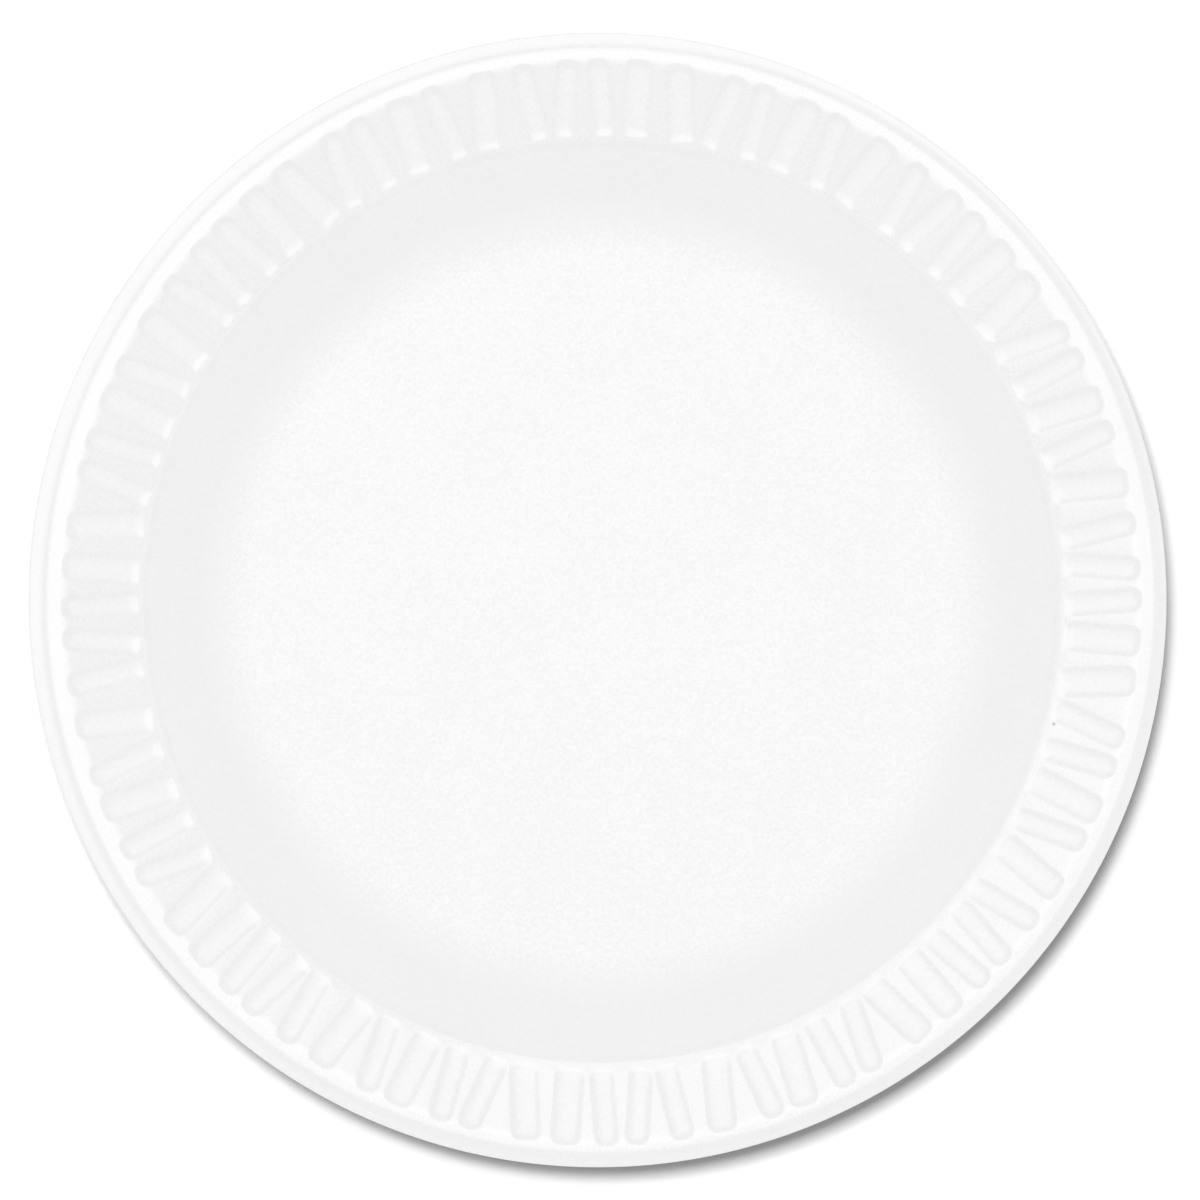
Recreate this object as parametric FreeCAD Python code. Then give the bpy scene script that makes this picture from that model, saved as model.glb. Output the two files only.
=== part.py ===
import FreeCAD, Part

import math
import os

# A round foam dinner plate, thermoformed in one piece from a sheet of foamed polystyrene.
# The well has a flat floor and a sloping wall, with a short steep riser along the wall's top.
# Outside it is the stiff rim: a sloping band pressed with leaning pads, a flat crest, a small
# step down and a flange out to the trimmed edge. The plate stands on its flat underside.
# The origin is on the forming axis in the plane of the underside, with +Z up.
# Sizes are in millimetres and degrees.

# The trimmed sheet
PLATE_DIAMETER = 228.6
PLATE_HEIGHT = 20.0
TRIM_OFFSET = 1.0  # how far the trimming die lands off the forming axis, towards -X

# Thickness of the foam, which thins where the sheet is drawn most
FLOOR_THICKNESS = 2.2
WALL_THICKNESS = 2.1
BAND_THICKNESS = 1.9
FLANGE_THICKNESS = 1.5

# The rim from the trimmed edge inwards, as widths seen from above
FLANGE_WIDTH = 2.4
STEP_WIDTH = 0.6
CREST_WIDTH = 2.4
BAND_WIDTH = 16.5
RISER_WIDTH = 0.7

# Heights and slopes of the section, with slopes measured from the horizontal
STEP_DROP = 1.0
RISER_HEIGHT = 0.9
FLANGE_SLOPE = 20.0
BAND_SLOPE = 22.0
WALL_SLOPE = 38.0
WELL_BEND = 13.0  # radius to which the sheet is bent up from the floor into the wall

# The pads pressed into the band. The same ten repeat in every group round the plate.
PAD_GROUPS = 8
NARROW_PAD = 4.4
WIDE_PAD = 5.8
PADS_OF_A_GROUP = (
    # angle round the plate, lean of the outer end, width
    (0.25, 4.0, NARROW_PAD),
    (4.25, -7.5, NARROW_PAD),
    (8.35, 6.0, NARROW_PAD),
    (13.55, -7.5, WIDE_PAD),
    (18.4, 6.5, NARROW_PAD),
    (22.7, -5.0, WIDE_PAD),
    (27.2, 1.5, NARROW_PAD),
    (31.2, -11.0, NARROW_PAD),
    (36.15, 10.0, WIDE_PAD),
    (41.05, 0.0, WIDE_PAD),
)
PAD_INNER_DEPTH = 0.8
PAD_OUTER_DEPTH = 1.1
PAD_INNER_DRAFT = 60.0
PAD_SIDE_DRAFT = 45.0
PAD_OUTER_DRAFT = 30.0
PAD_CORNER = 0.45  # how much each outer corner cuts off, as a share of half the pad's width
PAD_MARGIN = 0.35  # band left between the pads and the band's edges

# The pads show on the underside too, shorter and softer
BACK_PAD_DEPTH = 0.6
BACK_PAD_DRAFT = 50.0
BACK_PAD_MARGIN = 1.0

# How far a tool reaches past the faces that it opens
TOOL_REACH = 0.5


def rise(run, slope):
    """The height gained over a horizontal run up a slope."""
    return run * math.tan(math.radians(slope))


# Radii and heights of the eating face's corners, worked out from the trimmed edge inwards
EDGE_RADIUS = PLATE_DIAMETER / 2
STEP_FOOT_RADIUS = EDGE_RADIUS - FLANGE_WIDTH
CREST_OUTER_RADIUS = STEP_FOOT_RADIUS - STEP_WIDTH
CREST_INNER_RADIUS = CREST_OUTER_RADIUS - CREST_WIDTH
SHOULDER_RADIUS = CREST_INNER_RADIUS - BAND_WIDTH
RISER_FOOT_RADIUS = SHOULDER_RADIUS - RISER_WIDTH
STEP_FOOT_HEIGHT = PLATE_HEIGHT - STEP_DROP
SHOULDER_HEIGHT = PLATE_HEIGHT - rise(BAND_WIDTH, BAND_SLOPE)
RISER_FOOT_HEIGHT = SHOULDER_HEIGHT - RISER_HEIGHT
WELL_RADIUS = RISER_FOOT_RADIUS - (RISER_FOOT_HEIGHT - FLOOR_THICKNESS) / rise(1, WALL_SLOPE)

# The blank runs out past the trimming die all round
BLANK_RADIUS = EDGE_RADIUS + TRIM_OFFSET + TOOL_REACH
BLANK_HEIGHT = STEP_FOOT_HEIGHT - rise(BLANK_RADIUS - STEP_FOOT_RADIUS, FLANGE_SLOPE)
BELOW_THE_PLATE = -5.0

CENTRE = FreeCAD.Vector(0, 0, 0)
ACROSS = FreeCAD.Vector(0, 1, 0)
UP = FreeCAD.Vector(0, 0, 1)


def at(radius, height):
    """A point of the section, which lies in the XZ plane."""
    return FreeCAD.Vector(radius, 0, height)


def sheet_under(radius, height, slope, thickness):
    """The underside below a point of the eating face, as its height at the axis and its slope."""
    return height - rise(radius, slope) - thickness / math.cos(math.radians(slope)), slope


WALL_BACK = sheet_under(WELL_RADIUS, FLOOR_THICKNESS, WALL_SLOPE, WALL_THICKNESS)
BAND_BACK = sheet_under(CREST_INNER_RADIUS, PLATE_HEIGHT, BAND_SLOPE, BAND_THICKNESS)
FLANGE_BACK = sheet_under(STEP_FOOT_RADIUS, STEP_FOOT_HEIGHT, -FLANGE_SLOPE, FLANGE_THICKNESS)


def meeting(inner, outer):
    """The corner where two faces of the underside meet."""
    inner_height, inner_slope = inner
    outer_height, outer_slope = outer
    radius = (outer_height - inner_height) / (rise(1, inner_slope) - rise(1, outer_slope))
    return at(radius, inner_height + rise(radius, inner_slope))


# Corners of both faces in order, from the centre of the floor out to the blank's edge
EATING_FACE = (
    at(0, FLOOR_THICKNESS),
    at(WELL_RADIUS, FLOOR_THICKNESS),
    at(RISER_FOOT_RADIUS, RISER_FOOT_HEIGHT),
    at(SHOULDER_RADIUS, SHOULDER_HEIGHT),
    at(CREST_INNER_RADIUS, PLATE_HEIGHT),
    at(CREST_OUTER_RADIUS, PLATE_HEIGHT),
    at(STEP_FOOT_RADIUS, STEP_FOOT_HEIGHT),
    at(BLANK_RADIUS, BLANK_HEIGHT),
)
BACK_SHOULDER = meeting(WALL_BACK, BAND_BACK)
BACK_CREST = meeting(BAND_BACK, FLANGE_BACK)
UNDERSIDE = (
    at(0, 0),
    meeting((0, 0), WALL_BACK),
    BACK_SHOULDER,
    BACK_CREST,
    at(BLANK_RADIUS, FLANGE_BACK[0] - rise(BLANK_RADIUS, FLANGE_SLOPE)),
)


def filled_below(corners):
    """The round solid under a face, whose section is bent to a radius at the foot of the wall."""
    centre, foot, wall_top = corners[:3]
    inwards = (centre - foot).normalize()
    upwards = (wall_top - foot).normalize()
    half_turn = (math.pi - inwards.getAngle(upwards)) / 2
    start = foot + inwards * (WELL_BEND * math.tan(half_turn))
    end = foot + upwards * (WELL_BEND * math.tan(half_turn))
    middle = foot + (inwards + upwards).normalize() * (WELL_BEND / math.cos(half_turn) - WELL_BEND)
    bend = Part.Arc(start, middle, end).toShape()
    edge_foot = at(BLANK_RADIUS, BELOW_THE_PLATE)
    centre_foot = at(0, BELOW_THE_PLATE)
    rest = Part.makePolygon([end, *corners[2:], edge_foot, centre_foot, centre, start])
    section = Part.Face(Part.Wire([bend, *rest.Edges]))
    return section.revolve(CENTRE, UP, 360)


def pad_outline(inner, outer, half_width, corner, height):
    """A closed outline along X, square at its inner end, with its outer corners cut off."""
    cut = corner * half_width
    left = [FreeCAD.Vector(inner, half_width, height), FreeCAD.Vector(outer - cut, half_width, height)]
    if cut > 0:
        left.append(FreeCAD.Vector(outer, half_width - cut, height))
    right = [FreeCAD.Vector(point.x, -point.y, height) for point in reversed(left)]
    return Part.makePolygon([*left, *right, left[0]])


def pad_tool(length, width, depth, corner, inner_draft, side_draft, outer_draft):
    """The die that presses one pad, lying along X, with its mouth at z = 0 and its flat end down."""
    outlines = []
    for height in (-depth, TOOL_REACH):
        inner = -length / 2 - rise(height, inner_draft)
        outer = length / 2 + rise(height, outer_draft)
        half_width = width / 2 + rise(height, side_draft)
        outlines.append(pad_outline(inner, outer, half_width, corner, height))
    return Part.makeLoft(outlines, True, True)


def eating_face_tool(length, width):
    """The die for the eating face, tilted to press deeper at the pad's outer end."""
    depth = (PAD_INNER_DEPTH + PAD_OUTER_DEPTH) / 2
    drafts = (PAD_INNER_DRAFT, PAD_SIDE_DRAFT, PAD_OUTER_DRAFT)
    tool = pad_tool(length, width, depth, PAD_CORNER, *drafts)
    tilt = math.degrees(math.atan((PAD_OUTER_DEPTH - PAD_INNER_DEPTH) / length))
    tool.rotate(CENTRE, ACROSS, tilt)
    return tool


def underside_tool(length, width):
    """The die for the underside, square at both ends."""
    drafts = (BACK_PAD_DRAFT, BACK_PAD_DRAFT, BACK_PAD_DRAFT)
    return pad_tool(length, width, BACK_PAD_DEPTH, 0, *drafts)


def round_the_band(make_tool, inner, outer):
    """Every pad's tool, laid on the slope from one point of the section up to another."""
    middle = (inner + outer) / 2
    tools = []
    for group in range(PAD_GROUPS):
        for angle, lean, width in PADS_OF_A_GROUP:
            tool = make_tool((outer - inner).Length, width)
            tool.rotate(CENTRE, UP, lean)
            tool.rotate(CENTRE, ACROSS, -BAND_SLOPE)
            tool.translate(middle)
            tool.rotate(CENTRE, UP, angle + group * 360 / PAD_GROUPS)
            tools.append(tool)
    return tools


def plate():
    """The sheet between its two pressed faces, cut round by the trimming die."""
    up_the_band = at(1, rise(1, BAND_SLOPE))
    inner = EATING_FACE[3] + up_the_band * PAD_MARGIN
    outer = EATING_FACE[4] - up_the_band * PAD_MARGIN
    below_eating_face = filled_below(EATING_FACE).cut(round_the_band(eating_face_tool, inner, outer))
    inner = BACK_SHOULDER + up_the_band * BACK_PAD_MARGIN
    outer = BACK_CREST - up_the_band * BACK_PAD_MARGIN
    below_plate = filled_below(UNDERSIDE).cut(round_the_band(underside_tool, inner, outer))
    sheet = below_eating_face.cut(below_plate)
    die_foot = at(-TRIM_OFFSET, BELOW_THE_PLATE)
    die = Part.makeCylinder(EDGE_RADIUS, PLATE_HEIGHT + TOOL_REACH - BELOW_THE_PLATE, die_foot)
    return sheet.common(die)


os.makedirs("parts", exist_ok=True)
plate().exportStep("parts/plate.step")
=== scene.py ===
import math

import bpy
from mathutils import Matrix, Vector


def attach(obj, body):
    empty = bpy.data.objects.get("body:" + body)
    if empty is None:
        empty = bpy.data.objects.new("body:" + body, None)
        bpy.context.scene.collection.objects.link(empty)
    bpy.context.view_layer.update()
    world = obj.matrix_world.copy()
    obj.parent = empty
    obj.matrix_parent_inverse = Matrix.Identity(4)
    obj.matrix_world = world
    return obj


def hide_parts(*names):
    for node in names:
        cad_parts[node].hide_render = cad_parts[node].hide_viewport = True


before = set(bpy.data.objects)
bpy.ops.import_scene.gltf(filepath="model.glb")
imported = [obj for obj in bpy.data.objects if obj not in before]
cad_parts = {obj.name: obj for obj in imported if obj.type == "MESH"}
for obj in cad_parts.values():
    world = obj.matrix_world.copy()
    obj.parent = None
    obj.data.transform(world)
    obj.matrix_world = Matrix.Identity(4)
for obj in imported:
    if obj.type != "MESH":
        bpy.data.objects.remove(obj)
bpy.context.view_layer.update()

# ---------------------------------------------------------------------------------------------
# The plate: one sheet of foamed polystyrene, softened by heat and drawn between two cold tools,
# then cut out of the sheet by a round die. The tools give it a flat-floored well, a fluted rim
# and a flange, and the die lands a little off centre, so the flange is wider on one side.
# ---------------------------------------------------------------------------------------------

MM = 0.001

# the section's corners in millimetres: radius, height, radius of the bend, points along the bend;
# first the eating face, from the flange inwards
STEP_FOOT = (112.5, 19.25, 3.6, 4)
CREST_OUTER = (111.2, 20.0, 1.9, 5)
CREST_INNER = (108.15, 20.0, 6.0, 10)
SHOULDER = (92.75, 13.6, 0.5, 3)
RISER_FOOT = (91.65, 12.45, 0.7, 3)
WELL_FOOT = (78.6, 2.2, 13, 9)
# then the underside, from the well outwards
BACK_WELL_FOOT = (79.2, 0, 15.2, 8)
BACK_SHOULDER = (94.95, 12.32, 2.5, 3)
BACK_CREST = (109.6, 18.24, 1.4, 4)

# the trimmed edge
EDGE_RADIUS = 114.3
EDGE_THICKNESS = 1.5
UPPER_EDGE_BEND = 0.35
LOWER_EDGE_BEND = 0.3
EDGE_BEND_POINTS = 3
TRIM_OFFSET = 0.82
TRIM_DIRECTION = math.radians(157)

BAND_SLOPE = math.radians(22)
FLANGE_SLOPE = math.radians(7)
LEDGE = (94.8, 14.6)  # radius and height; the band is a little steeper from here inwards

# how far the sheet comes out of the tools narrower along X and wider along Y, as a share
OVAL = 0.0033
FLANGE_OVAL = -0.0015
FLANGE_OVAL_FROM = 110


def height_between(radius, inner, outer):
    """The height, at a radius, of the straight line from one corner to another."""
    share = (radius - inner[0]) / (outer[0] - inner[0])
    return inner[1] + share * (outer[1] - inner[1])


def on_band(radius):
    """A point of the band's eating face, between the pads."""
    if radius < LEDGE[0]:
        return radius, height_between(radius, SHOULDER, LEDGE), 0, 1
    return radius, height_between(radius, LEDGE, CREST_INNER), 0, 1


def under_band(radius):
    """A point of the band's underside, between the pads."""
    return radius, height_between(radius, BACK_SHOULDER, BACK_CREST), 0, 1


def spread(first, last, count):
    """Evenly spaced radii from one to another."""
    return [first + (last - first) * i / (count - 1) for i in range(count)]


# both faces in order, with their rows close together where the end walls of the pads are
band_radii = [*spread(106.8, 105.4, 5), 104, 100.5, *spread(97.4, 93.15, 11)]
back_band_radii = [*spread(96.4, 98.2, 5), 102, *spread(106.3, 108.3, 6)]
crest_flat_radii = [110.4, 109.65]
floor_radii = [66, 50, 30, 12, 0]
edge_height = STEP_FOOT[1] - (EDGE_RADIUS - STEP_FOOT[0]) * math.tan(FLANGE_SLOPE)
underside = [
    (0, 0, 0, 1),
    BACK_WELL_FOOT,
    BACK_SHOULDER,
    *[under_band(radius) for radius in back_band_radii],
    BACK_CREST,
    (EDGE_RADIUS, edge_height - EDGE_THICKNESS, LOWER_EDGE_BEND, EDGE_BEND_POINTS),
]
eating_face = [
    (EDGE_RADIUS, edge_height, UPPER_EDGE_BEND, EDGE_BEND_POINTS),
    STEP_FOOT,
    CREST_OUTER,
    *[(radius, CREST_OUTER[1], 0, 1) for radius in crest_flat_radii],
    CREST_INNER,
    *[on_band(radius) for radius in band_radii],
    SHOULDER,
    RISER_FOOT,
    WELL_FOOT,
    *[(radius, WELL_FOOT[1], 0, 1) for radius in floor_radii],
]
section = underside + eating_face


def store(mesh, name, kind, values):
    """Keeps a value at each point of a mesh, for the tree to read."""
    mesh.attributes.new(name, kind, "POINT").data.foreach_set("value", values)


plate_mesh = bpy.data.meshes.new("plate")
plate_mesh.from_pydata(
    [(radius * MM, 0, height * MM) for radius, height, _, _ in section],
    [(i, i + 1) for i in range(len(section) - 1)],
    [],
)
store(plate_mesh, "bend", "FLOAT", [bend * MM for _, _, bend, _ in section])
store(plate_mesh, "bend points", "INT", [points for _, _, _, points in section])
store(plate_mesh, "face side", "FLOAT", [0.0] * len(underside) + [1.0] * len(eating_face))
store(plate_mesh, "oval", "FLOAT", [OVAL if r < FLANGE_OVAL_FROM else FLANGE_OVAL for r, *_ in section])
plate = bpy.data.objects.new("plate_sheet", plate_mesh)
bpy.context.scene.collection.objects.link(plate)

# the pads of one group, in degrees and millimetres: angle round the plate, lean of the outer end,
# width at the mouth
PAD_GROUPS = 8
NARROW = 5.1
WIDE = 6.25
PADS = [
    (0.2, 4.3, NARROW), (4.2, -8.1, NARROW), (8.3, 6.5, NARROW), (13.5, -8.1, WIDE),
    (18.35, 7.0, NARROW), (22.65, -5.4, WIDE), (27.15, 1.6, NARROW), (31.15, -11.8, NARROW),
    (36.1, 10.8, WIDE), (41.0, 0.0, WIDE),
]
pads_mesh = bpy.data.meshes.new("pads")
pads_mesh.from_pydata([(0, 0, 0)] * len(PADS), [], [])
store(pads_mesh, "angle", "FLOAT", [math.radians(angle) for angle, _, _ in PADS])
store(pads_mesh, "lean", "FLOAT", [math.radians(lean) for _, lean, _ in PADS])
store(pads_mesh, "half width", "FLOAT", [width / 2 * MM for _, _, width in PADS])
pads = bpy.data.objects.new("pads", pads_mesh)
bpy.context.scene.collection.objects.link(pads)


class Forming:
    """A geometry tree that is written as sums: each call adds a node and gives its output."""

    def __init__(self, name):
        self.tree = bpy.data.node_groups.new(name, "GeometryNodeTree")
        self.sizes = {}
        self.tree.interface.new_socket("Geometry", in_out="INPUT", socket_type="NodeSocketGeometry")
        self.tree.interface.new_socket("Geometry", in_out="OUTPUT", socket_type="NodeSocketGeometry")

    def size(self, name, value, kind="NodeSocketFloat"):
        """Adds an input of the tree, and keeps what the modifier is to give it."""
        socket = self.tree.interface.new_socket(name, in_out="INPUT", socket_type=kind)
        self.sizes[socket.identifier] = value

    def node(self, kind, inputs=(), output=0, **settings):
        node = self.tree.nodes.new(kind)
        for key, value in settings.items():
            setattr(node, key, value)
        for key, value in dict(inputs).items():
            self.feed(value, node.inputs[key])
        return node.outputs[output]

    def feed(self, value, socket):
        if isinstance(value, bpy.types.NodeSocket):
            self.tree.links.new(value, socket)
        else:
            socket.default_value = value

    def stored(self, name, data_type="FLOAT"):
        """What a mesh keeps under a name."""
        return self.node("GeometryNodeInputNamedAttribute", {"Name": name}, data_type=data_type)

    def sample(self, geometry, value, index, data_type="FLOAT"):
        """The value at one point of a geometry."""
        inputs = {"Geometry": geometry, "Value": value, "Index": index}
        return self.node("GeometryNodeSampleIndex", inputs, data_type=data_type)

    def parts(self, vector):
        """The X, Y and Z of a vector."""
        split = self.tree.nodes.new("ShaderNodeSeparateXYZ")
        self.feed(vector, split.inputs[0])
        return list(split.outputs)

    def sum(self, operation, *values):
        return self.node("ShaderNodeMath", enumerate(values), operation=operation)

    def add(self, *values):
        total = values[0]
        for value in values[1:]:
            total = self.sum("ADD", total, value)
        return total

    def take(self, a, b):
        return self.sum("SUBTRACT", a, b)

    def times(self, *values):
        product = values[0]
        for value in values[1:]:
            product = self.sum("MULTIPLY", product, value)
        return product

    def share(self, a, b):
        return self.sum("DIVIDE", a, b)

    def between(self, low, high, factor):
        return self.add(low, self.times(factor, self.take(high, low)))

    def whole(self, value):
        return self.sum("FLOOR", value)

    def rest_of(self, value, divisor):
        return self.sum("FLOORED_MODULO", value, divisor)

    def at_least(self, a, b):
        return self.sum("MAXIMUM", a, b)

    def at_most(self, a, b):
        return self.sum("MINIMUM", a, b)

    def length_of(self, a, b):
        return self.sum("SQRT", self.add(self.times(a, a), self.times(b, b)))


foam = bpy.data.materials.new("foamed polystyrene")

form = Forming("press the plate")
form.size("Foam", foam, "NodeSocketMaterial")
form.size("Pads", pads, "NodeSocketObject")
form.size("Pads in a group", len(PADS), "NodeSocketInt")
form.size("Groups", PAD_GROUPS, "NodeSocketInt")
plate_sizes = {
    "Band inner radius": 93.7 * MM,
    "Band outer radius": 109.2 * MM,
    "Band slope": BAND_SLOPE,
    "Pad drift": math.radians(0.33),
    "Pad drift direction": math.radians(30),
    "Pad ring offset": 0.35 * MM,
    "Pad ring direction": math.radians(-60),
    "Pad inner depth": 0.7 * MM,
    "Pad outer depth": 0.92 * MM,
    "Pad side run": 1.4 * MM,
    "Pad inner run": 1.6 * MM,
    "Pad outer run": 1.8 * MM,
    "Pad inner corner": 1.1,
    "Pad outer corner": 1.5,
    "Pad softness": 0.4,
    "Back pad shortening": 1.6 * MM,
    "Back pad depth": 0.6 * MM,
    "Back pad run": 1.5 * MM,
    "Flange radius": STEP_FOOT[0] * MM,
    "Edge radius": EDGE_RADIUS * MM,
    "Trim offset": TRIM_OFFSET * MM,
    "Trim direction": TRIM_DIRECTION,
    "Flange slope": FLANGE_SLOPE,
    "Unevenness": 0.12 * MM,
    "Swells in a metre": 22.0,
}
for name, value in plate_sizes.items():
    form.size(name, value)
given = form.tree.nodes.new("NodeGroupInput").outputs

# the section, with its corners bent to their radii
line = form.node("GeometryNodeMeshToCurve", {"Mesh": given["Geometry"]})
bends = {"Radius": form.stored("bend"), "Count": form.stored("bend points", "INT")}
line = form.node(
    "GeometryNodeFilletCurve", {"Curve": line, "Limit Radius": True, **bends}, mode="POLY"
)

# a tube with a column of faces for each step round the plate, and a row for each section point
COLUMNS_PER_PAD = 12
half_columns = COLUMNS_PER_PAD / 2
pad_count = form.times(given["Pads in a group"], given["Groups"])
columns = form.times(pad_count, COLUMNS_PER_PAD)
rows = form.node("GeometryNodeAttributeDomainSize", {"Geometry": line}, component="CURVE")
last_row = form.take(rows, 1)
tube = form.node(
    "GeometryNodeMeshCylinder",
    {"Vertices": columns, "Side Segments": last_row, "Radius": 1.0, "Depth": 1.0},
    fill_type="NONE",
)
x, y, z = form.parts(form.node("GeometryNodeInputPosition"))
turn = form.share(form.sum("ARCTAN2", y, x), math.tau)
column = form.rest_of(form.sum("ROUND", form.times(turn, columns)), columns)
row = form.sum("ROUND", form.times(form.add(z, 0.5), last_row))

# where each vertex is on the section
section_place = form.sample(line, form.node("GeometryNodeInputPosition"), row, "FLOAT_VECTOR")
radius, _, height = form.parts(section_place)
side = form.sample(line, form.stored("face side"), row)
pull = form.sample(line, form.stored("oval"), row)

# which pad the column belongs to, and where it lies across that pad
pads_geometry = form.node("GeometryNodeObjectInfo", {"Object": given["Pads"]}, output="Geometry")


def pad_facts(number):
    """The angle, lean and half width of a pad, counted round the whole plate."""
    place = form.rest_of(number, given["Pads in a group"])
    group = form.whole(form.share(number, given["Pads in a group"]))
    angle, lean, half_width = [
        form.sample(pads_geometry, form.stored(name), place) for name in ("angle", "lean", "half width")
    ]
    angle = form.add(angle, form.share(form.times(group, math.tau), given["Groups"]))
    towards = form.sum("COSINE", form.take(angle, given["Pad drift direction"]))
    return form.take(angle, form.times(given["Pad drift"], towards)), lean, half_width


# the pads are followed a little way past the band, further than their ring is off centre
past_band = 0.8 * MM
band_middle = form.times(form.add(given["Band inner radius"], given["Band outer radius"]), 0.5)
half_length = form.times(form.take(given["Band outer radius"], given["Band inner radius"]), 0.5)
band_radius = form.at_most(
    form.at_least(radius, form.take(given["Band inner radius"], past_band)),
    form.add(given["Band outer radius"], past_band),
)


def on_pad_line(angle, lean, across):
    """Where a line beside a pad's axis crosses the vertex's radius: its angle, and how far along."""
    cosine = form.sum("COSINE", lean)
    sine = form.sum("SINE", lean)
    forward = form.times(band_middle, cosine)
    spare = form.add(
        form.times(forward, forward),
        form.times(band_radius, band_radius),
        form.times(form.times(across, across), -1),
        form.times(form.times(band_middle, band_middle), -1),
        form.times(2, band_middle, across, sine),
    )
    along = form.take(form.sum("SQRT", spare), forward)
    beside = form.add(form.times(along, sine), form.times(across, cosine))
    ahead = form.add(band_middle, form.take(form.times(along, cosine), form.times(across, sine)))
    return form.add(angle, form.sum("ARCTAN2", beside, ahead)), along


number = form.whole(form.share(column, COLUMNS_PER_PAD))
step = form.take(form.rest_of(column, COLUMNS_PER_PAD), half_columns)
angle, lean, half_width = pad_facts(number)

# the columns crowd together down each pad's two side walls, and none crosses a ridge's middle
mouth_margin = 0.2 * MM
first_gap = 0.3 * MM
gap_growth = 0.03 * MM
from_mouth = form.take(half_columns - 1, form.sum("ABSOLUTE", step))
inwards = form.times(from_mouth, form.add(first_gap, form.times(from_mouth, gap_growth)))
outermost = form.add(half_width, mouth_margin)
across = form.times(form.sum("SIGN", step), form.take(outermost, inwards))
own_turn, along = on_pad_line(angle, lean, across)


def ridge_middle(right, left):
    """The angle midway between two neighbouring pads."""
    right_turn, _ = on_pad_line(right[0], right[1], form.add(right[2], mouth_margin))
    left_turn, _ = on_pad_line(left[0], left[1], form.times(form.add(left[2], mouth_margin), -1))
    return form.times(form.add(right_turn, left_turn), 0.5)


this_pad = (angle, lean, half_width)
right_ridge = ridge_middle(pad_facts(form.take(number, 1)), this_pad)
left_ridge = ridge_middle(this_pad, pad_facts(form.add(number, 1)))
hair = 0.0001  # the least angle between two columns, in radians
from_right = form.times(form.add(step, half_columns), hair)
from_left = form.times(form.take(step, half_columns), hair)
own_turn = form.at_least(own_turn, form.add(right_ridge, from_right))
own_turn = form.at_most(own_turn, form.add(left_ridge, from_left))
on_ridge = form.sum("COMPARE", step, -half_columns, 0.1)
heading = form.between(own_turn, right_ridge, on_ridge)

# on the floor the columns spread out evenly again, so that they meet cleanly in the middle
even_radius = 70 * MM
even_turn = form.times(form.share(form.take(column, half_columns), columns), math.tau)
heading = form.between(heading, even_turn, form.sum("LESS_THAN", radius, even_radius))

# how deep the pad is pressed at the vertex, with soft walls and rounded corners
reach = form.take(half_length, form.times(form.take(1, side), given["Back pad shortening"]))
inner_run = form.between(given["Back pad run"], given["Pad inner run"], side)
outer_run = form.between(given["Back pad run"], given["Pad outer run"], side)
side_run = form.between(given["Back pad run"], given["Pad side run"], side)
towards_ring = form.sum("COSINE", form.take(angle, given["Pad ring direction"]))
on_pad = form.take(along, form.times(given["Pad ring offset"], towards_ring))
from_side = form.share(form.take(half_width, form.sum("ABSOLUTE", across)), side_run)
from_inner = form.share(form.add(reach, on_pad), inner_run)
from_outer = form.share(form.take(reach, on_pad), outer_run)


def in_corner(from_end, corner):
    """How far in from a pad's outline, in runs of its wall, with the outline's corners rounded."""
    short_side = form.at_least(form.take(corner, from_side), 0)
    short_end = form.at_least(form.take(corner, from_end), 0)
    return form.take(corner, form.length_of(short_side, short_end))


in_outline = form.at_most(
    in_corner(from_inner, given["Pad inner corner"]),
    in_corner(from_outer, given["Pad outer corner"]),
)
rounded = form.node("ShaderNodeMapRange", {"Value": in_outline}, interpolation_type="SMOOTHSTEP")
straight = form.node("ShaderNodeMapRange", {"Value": in_outline})
pressed = form.between(straight, rounded, given["Pad softness"])
outwards = form.add(0.5, form.share(along, form.times(2, half_length)))
face_depth = form.between(given["Pad inner depth"], given["Pad outer depth"], outwards)
depth = form.times(form.between(given["Back pad depth"], face_depth, side), pressed)
depth = form.times(depth, form.take(1, on_ridge))
sunk_radius = form.add(radius, form.times(depth, form.sum("SINE", given["Band slope"])))
sunk_height = form.take(height, form.times(depth, form.sum("COSINE", given["Band slope"])))

# the die lands off centre, so the flange runs further down its slope on that side
edge = given["Edge radius"]
offset = given["Trim offset"]
from_offset = form.take(heading, given["Trim direction"])
sideways = form.times(offset, form.sum("SINE", from_offset))
chord = form.take(form.times(edge, edge), form.times(sideways, sideways))
cut_radius = form.add(form.sum("SQRT", chord), form.times(offset, form.sum("COSINE", from_offset)))
out_along_flange = form.at_least(form.take(sunk_radius, given["Flange radius"]), 0)
flange_share = form.share(out_along_flange, form.take(edge, given["Flange radius"]))
extra = form.times(flange_share, form.take(cut_radius, edge))
final_radius = form.add(sunk_radius, extra)
final_height = form.take(sunk_height, form.times(extra, form.sum("TANGENT", given["Flange slope"])))

# each vertex goes to its place, on a sheet that is slightly oval
place = form.node(
    "ShaderNodeCombineXYZ",
    {
        "X": form.times(final_radius, form.sum("COSINE", heading), form.take(1, pull)),
        "Y": form.times(final_radius, form.sum("SINE", heading), form.add(1, pull)),
        "Z": final_height,
    },
)
sheet = form.node(
    "GeometryNodeStoreNamedAttribute",
    {"Geometry": tube, "Name": "pressed", "Value": form.times(pressed, side)},
    data_type="FLOAT",
    domain="POINT",
)
sheet = form.node("GeometryNodeSetPosition", {"Geometry": sheet, "Position": place})

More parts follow.
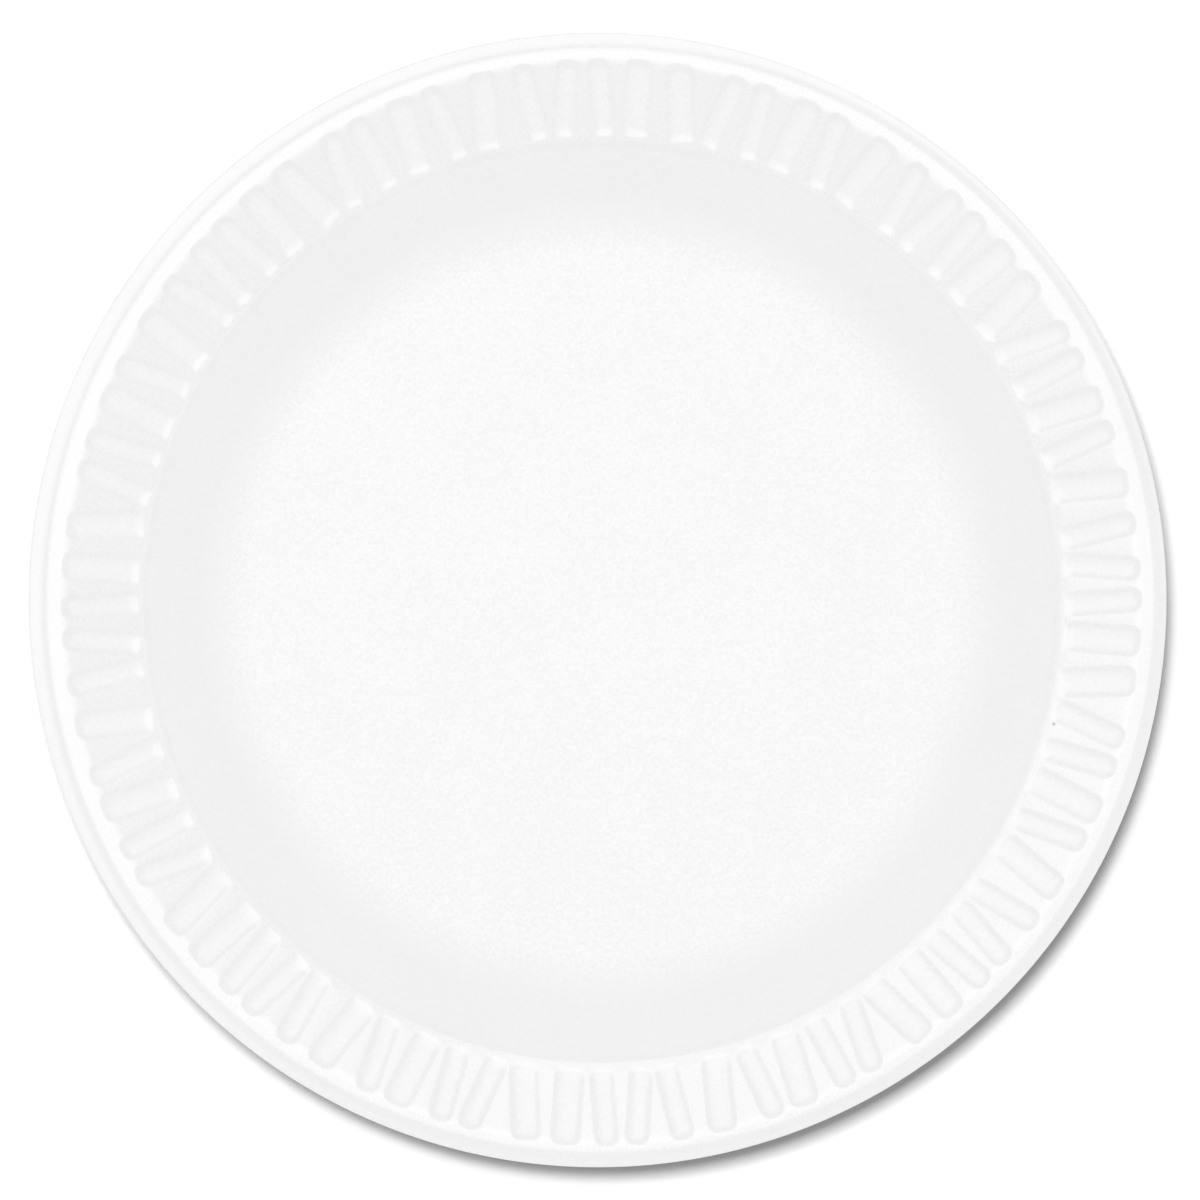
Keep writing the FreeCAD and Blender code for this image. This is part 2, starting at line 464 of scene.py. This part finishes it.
# the sheet cools a little uneven, more so outwards, but the face that it stands on stays flat
flat_foot = 0.5 * MM
full_rise = 4 * MM
full_radius = 80 * MM
swell = form.node("ShaderNodeTexNoise", {"Scale": given["Swells in a metre"], "Detail": 2.0})
above_foot = form.share(form.at_least(form.take(z, flat_foot), 0), full_rise)
lift = form.times(
    form.take(swell, 0.5),
    2,
    given["Unevenness"],
    form.at_most(1, above_foot),
    form.at_most(1, form.share(form.length_of(x, y), full_radius)),
)
lift = form.node("ShaderNodeCombineXYZ", {"Z": lift})
sheet = form.node("GeometryNodeSetPosition", {"Geometry": sheet, "Offset": lift})

# the seam and both middles are closed, and the sheet is given its material
sheet = form.node("GeometryNodeMergeByDistance", {"Geometry": sheet, "Distance": 0.01 * MM})
sheet = form.node("GeometryNodeSetShadeSmooth", {"Geometry": sheet})
sheet = form.node("GeometryNodeRealizeInstances", {"Geometry": sheet})
sheet = form.node("GeometryNodeSetMaterial", {"Geometry": sheet, "Material": given["Foam"]})
form.feed(sheet, form.tree.nodes.new("NodeGroupOutput").inputs[0])

# how light the foam is; the wall and rim get painted shade, a little darker than the floor, and the pad
# floors painted light; and what clouds, grain and cells add or take away
FLOOR_TONE = 0.866
WALL_TONE_WITH_PAINTED_SHADE = 0.858
RIM_PAINTED_SHADE = -0.006
PAD_PAINTED_LIGHT = 0.022
CLOUD_TONE = 0.004
GRAIN_TONE = 0.033
CELL_TONE = 0.017

# how much of the grain and cells shows
FLOOR_GRAIN = 0.85
WALL_GRAIN = 0.32
RIM_GRAIN = -0.02
PAD_GRAIN = 0.18

# how rough the skin is, and what the rim, pads, flange and grain add or take away
FLOOR_ROUGHNESS = 0.5
WALL_ROUGHNESS = 0.9
RIM_ROUGHNESS = -0.62
PAD_ROUGHNESS = 0.2
FLANGE_ROUGHNESS = 0.05
GRAIN_ROUGHNESS = 0.03

# the skin's dimples, and how much the grain adds to the cells in them
DIMPLE_DEPTH = 0.02 * MM
DIMPLE_STRENGTH = 0.35
DIMPLE_GRAIN = 1.2

# a dark fleck in the foam, on the ledge inside the pads
FLECK = (91.4 * MM, -24.75 * MM, 14.4 * MM)
FLECK_TONE = 0.36

foam.use_nodes = True
foam_nodes = foam.node_tree.nodes
shader = foam_nodes["Principled BSDF"]
shader.inputs["IOR"].default_value = 1.55
shader.inputs["Specular IOR Level"].default_value = 0.6


def foam_node(kind, inputs=(), output=0, **settings):
    """Adds a node of the foam's material, feeds its inputs, and gives one of its outputs."""
    node = foam_nodes.new(kind)
    for key, value in settings.items():
        setattr(node, key, value)
    for key, value in dict(inputs).items():
        if isinstance(value, bpy.types.NodeSocket):
            foam.node_tree.links.new(value, node.inputs[key])
        else:
            node.inputs[key].default_value = value
    return node.outputs[output]


def foam_times(a, b):
    return foam_node("ShaderNodeMath", {0: a, 1: b}, operation="MULTIPLY")


def foam_add(*values):
    total = values[0]
    for value in values[1:]:
        total = foam_node("ShaderNodeMath", {0: total, 1: value}, operation="ADD")
    return total


def ramp(value, low, high, first, last):
    """Turns a range of a value smoothly into another range."""
    inputs = {"Value": value, "From Min": low, "From Max": high, "To Min": first, "To Max": last}
    return foam_node("ShaderNodeMapRange", inputs, interpolation_type="SMOOTHSTEP")


spot = foam_node("ShaderNodeTexCoord", output="Object")
flat_spot = foam_node("ShaderNodeVectorMath", {0: spot, 1: (1, 1, 0)}, operation="MULTIPLY")
from_axis = foam_node("ShaderNodeVectorMath", {0: flat_spot}, output="Value", operation="LENGTH")
from_fleck = foam_node("ShaderNodeVectorMath", {0: spot, 1: FLECK}, output="Value", operation="DISTANCE")
on_rim = ramp(from_axis, 92.6 * MM, 93.4 * MM, 0.0, 1.0)
pad_floor = foam_node("ShaderNodeAttribute", output="Fac", attribute_name="pressed")

# closed cells under the skin, each a little lighter or darker, its clouds, and its fine grain;
# the scales are counts in a metre
cells = foam_node("ShaderNodeTexVoronoi", {"Vector": spot, "Scale": 1900.0}, output="Distance")
cell_tones = foam_node("ShaderNodeTexVoronoi", {"Vector": spot, "Scale": 1750.0}, output="Color")
clouds = foam_node("ShaderNodeTexNoise", {"Vector": spot, "Scale": 45.0, "Detail": 3.0})
grain = foam_node("ShaderNodeTexNoise", {"Vector": spot, "Scale": 1300.0, "Detail": 2.0})

# the grain shows most on the floor, less in the pads, and least on the wall and ridges
grain_tone = foam_add(
    ramp(grain, 0.25, 0.75, -GRAIN_TONE, GRAIN_TONE),
    ramp(cell_tones, 0.0, 1.0, -CELL_TONE, CELL_TONE),
)
graininess = foam_add(
    ramp(from_axis, 74 * MM, 79.5 * MM, FLOOR_GRAIN, WALL_GRAIN),
    foam_times(on_rim, RIM_GRAIN),
    foam_times(pad_floor, PAD_GRAIN),
)
tone = foam_add(
    foam_times(grain_tone, graininess),
    ramp(clouds, 0.3, 0.7, -CLOUD_TONE, CLOUD_TONE),
    # painted shade: the wall fades a little darker than the floor, standing in for the shade on its
    # slope
    ramp(from_axis, 74 * MM, 82 * MM, FLOOR_TONE, WALL_TONE_WITH_PAINTED_SHADE),
    # painted shade: the rim is a shade darker again, standing in for the shade on the band's slopes
    ramp(on_rim, 0.0, 1.0, 0.0, RIM_PAINTED_SHADE),
    # painted light: the pad floors are lighter than the ridges, standing in for how the light falls on
    # them
    foam_times(pad_floor, PAD_PAINTED_LIGHT),
)
tone = foam_times(tone, ramp(from_fleck, 0.1 * MM, 0.6 * MM, FLECK_TONE, 1.0))
colour = foam_node("ShaderNodeCombineColor", {0: tone, 1: tone, 2: tone})
foam.node_tree.links.new(colour, shader.inputs["Base Color"])

# the ridges bore on the tool and came out the smoothest, and the drawn wall stayed the dullest
skin = foam_add(
    ramp(from_axis, 71 * MM, 80 * MM, FLOOR_ROUGHNESS, WALL_ROUGHNESS),
    ramp(on_rim, 0.0, 1.0, 0.0, RIM_ROUGHNESS),
    foam_times(pad_floor, PAD_ROUGHNESS),
    ramp(from_axis, 110.8 * MM, 112.2 * MM, 0.0, FLANGE_ROUGHNESS),
    ramp(grain, 0.3, 0.7, -GRAIN_ROUGHNESS, GRAIN_ROUGHNESS),
)
foam.node_tree.links.new(skin, shader.inputs["Roughness"])

dimples = foam_add(cells, foam_times(grain, DIMPLE_GRAIN))
relief = foam_node(
    "ShaderNodeBump",
    {"Strength": DIMPLE_STRENGTH, "Distance": DIMPLE_DEPTH, "Height": dimples},
    output="Normal",
)
foam.node_tree.links.new(relief, shader.inputs["Normal"])

# the sheet is pressed once, and what comes out is the plate's own mesh
forming = plate.modifiers.new("forming", "NODES")
forming.node_group = form.tree
for identifier, value in form.sizes.items():
    forming[identifier] = value
depsgraph = bpy.context.evaluated_depsgraph_get()
sheet_mesh = bpy.data.meshes.new_from_object(plate.evaluated_get(depsgraph))
plate.modifiers.remove(forming)
plate.data = sheet_mesh
bpy.data.objects.remove(pads)

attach(plate, "root")
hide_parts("plate")

# ---------------------------------------------------------------------------------------------
# The table: a flat, dull board that the plate stands on, grey in itself and lit up to white by a
# lamp of its own. It lies a tenth of a millimetre under the plate, so that the two never coincide.
# ---------------------------------------------------------------------------------------------

TABLE_WIDTH = 6
TABLE_HEIGHT = -0.1 * MM
TABLE_GREY = 0.34

bpy.ops.mesh.primitive_plane_add(size=TABLE_WIDTH, location=(0, 0, TABLE_HEIGHT))
table = bpy.context.object
table.name = "table"
board = bpy.data.materials.new("white table")
board.use_nodes = True
board_shader = board.node_tree.nodes["Principled BSDF"]
board_shader.inputs["Base Color"].default_value = (TABLE_GREY, TABLE_GREY, TABLE_GREY, 1)
board_shader.inputs["Roughness"].default_value = 1
table.data.materials.append(board)

# ---------------------------------------------------------------------------------------------
# The lights: a white room, a soft box overhead, a cool window at the upper left that shows only
# as a sheen, and a lamp at the upper left that lights the table alone, so that it's white around
# the plate's narrow grey shadow.
# ---------------------------------------------------------------------------------------------

ROOM_BRIGHTNESS = 0.95

room = bpy.data.worlds.new("white room")
room.use_nodes = True
room.node_tree.nodes["Background"].inputs["Color"].default_value = (1, 1, 1, 1)
room.node_tree.nodes["Background"].inputs["Strength"].default_value = ROOM_BRIGHTNESS
bpy.context.scene.world = room
bpy.context.scene.view_settings.view_transform = "Standard"


def soft_box(name, place, width, power):
    """A square soft lamp, in metres and watts, that faces the plate from a place above it."""
    light = bpy.data.lights.new(name, "AREA")
    light.size = width
    light.energy = power
    lit = bpy.data.objects.new(name, light)
    lit.location = place
    lit.rotation_euler = Vector(place).to_track_quat("Z", "Y").to_euler()
    bpy.context.scene.collection.objects.link(lit)
    return lit


soft_box("overhead box", (0, 0.1, 1.8), 1.2, 3.2)

window = soft_box("window", (-0.37, 0.58, 1.66), 2.6, 19.5)
window.data.shape = "RECTANGLE"
window.data.size_y = 1.9
window.data.color = (0.93, 0.96, 1.0)
window.visible_diffuse = False

table_lamp = soft_box("table lamp", (-0.163, 0.312, 2.2), 0.36, 108)
lit_table = bpy.data.collections.new("lit by the table lamp")
lit_table.objects.link(table)
table_lamp.light_linking.receiver_collection = lit_table

# ---------------------------------------------------------------------------------------------
# The camera: 1.4 m straight above the plate, with a long lens that flattens its depth. It stands
# a fraction of a millimetre off the axis.
# ---------------------------------------------------------------------------------------------

camera = bpy.data.objects.new("camera", bpy.data.cameras.new("camera"))
camera.data.lens = 210
camera.data.sensor_width = 36
camera.location = (-0.24 * MM, 0.3 * MM, 1.427)
camera.rotation_euler = (0, 0, 0)
bpy.context.scene.collection.objects.link(camera)
bpy.context.scene.camera = camera
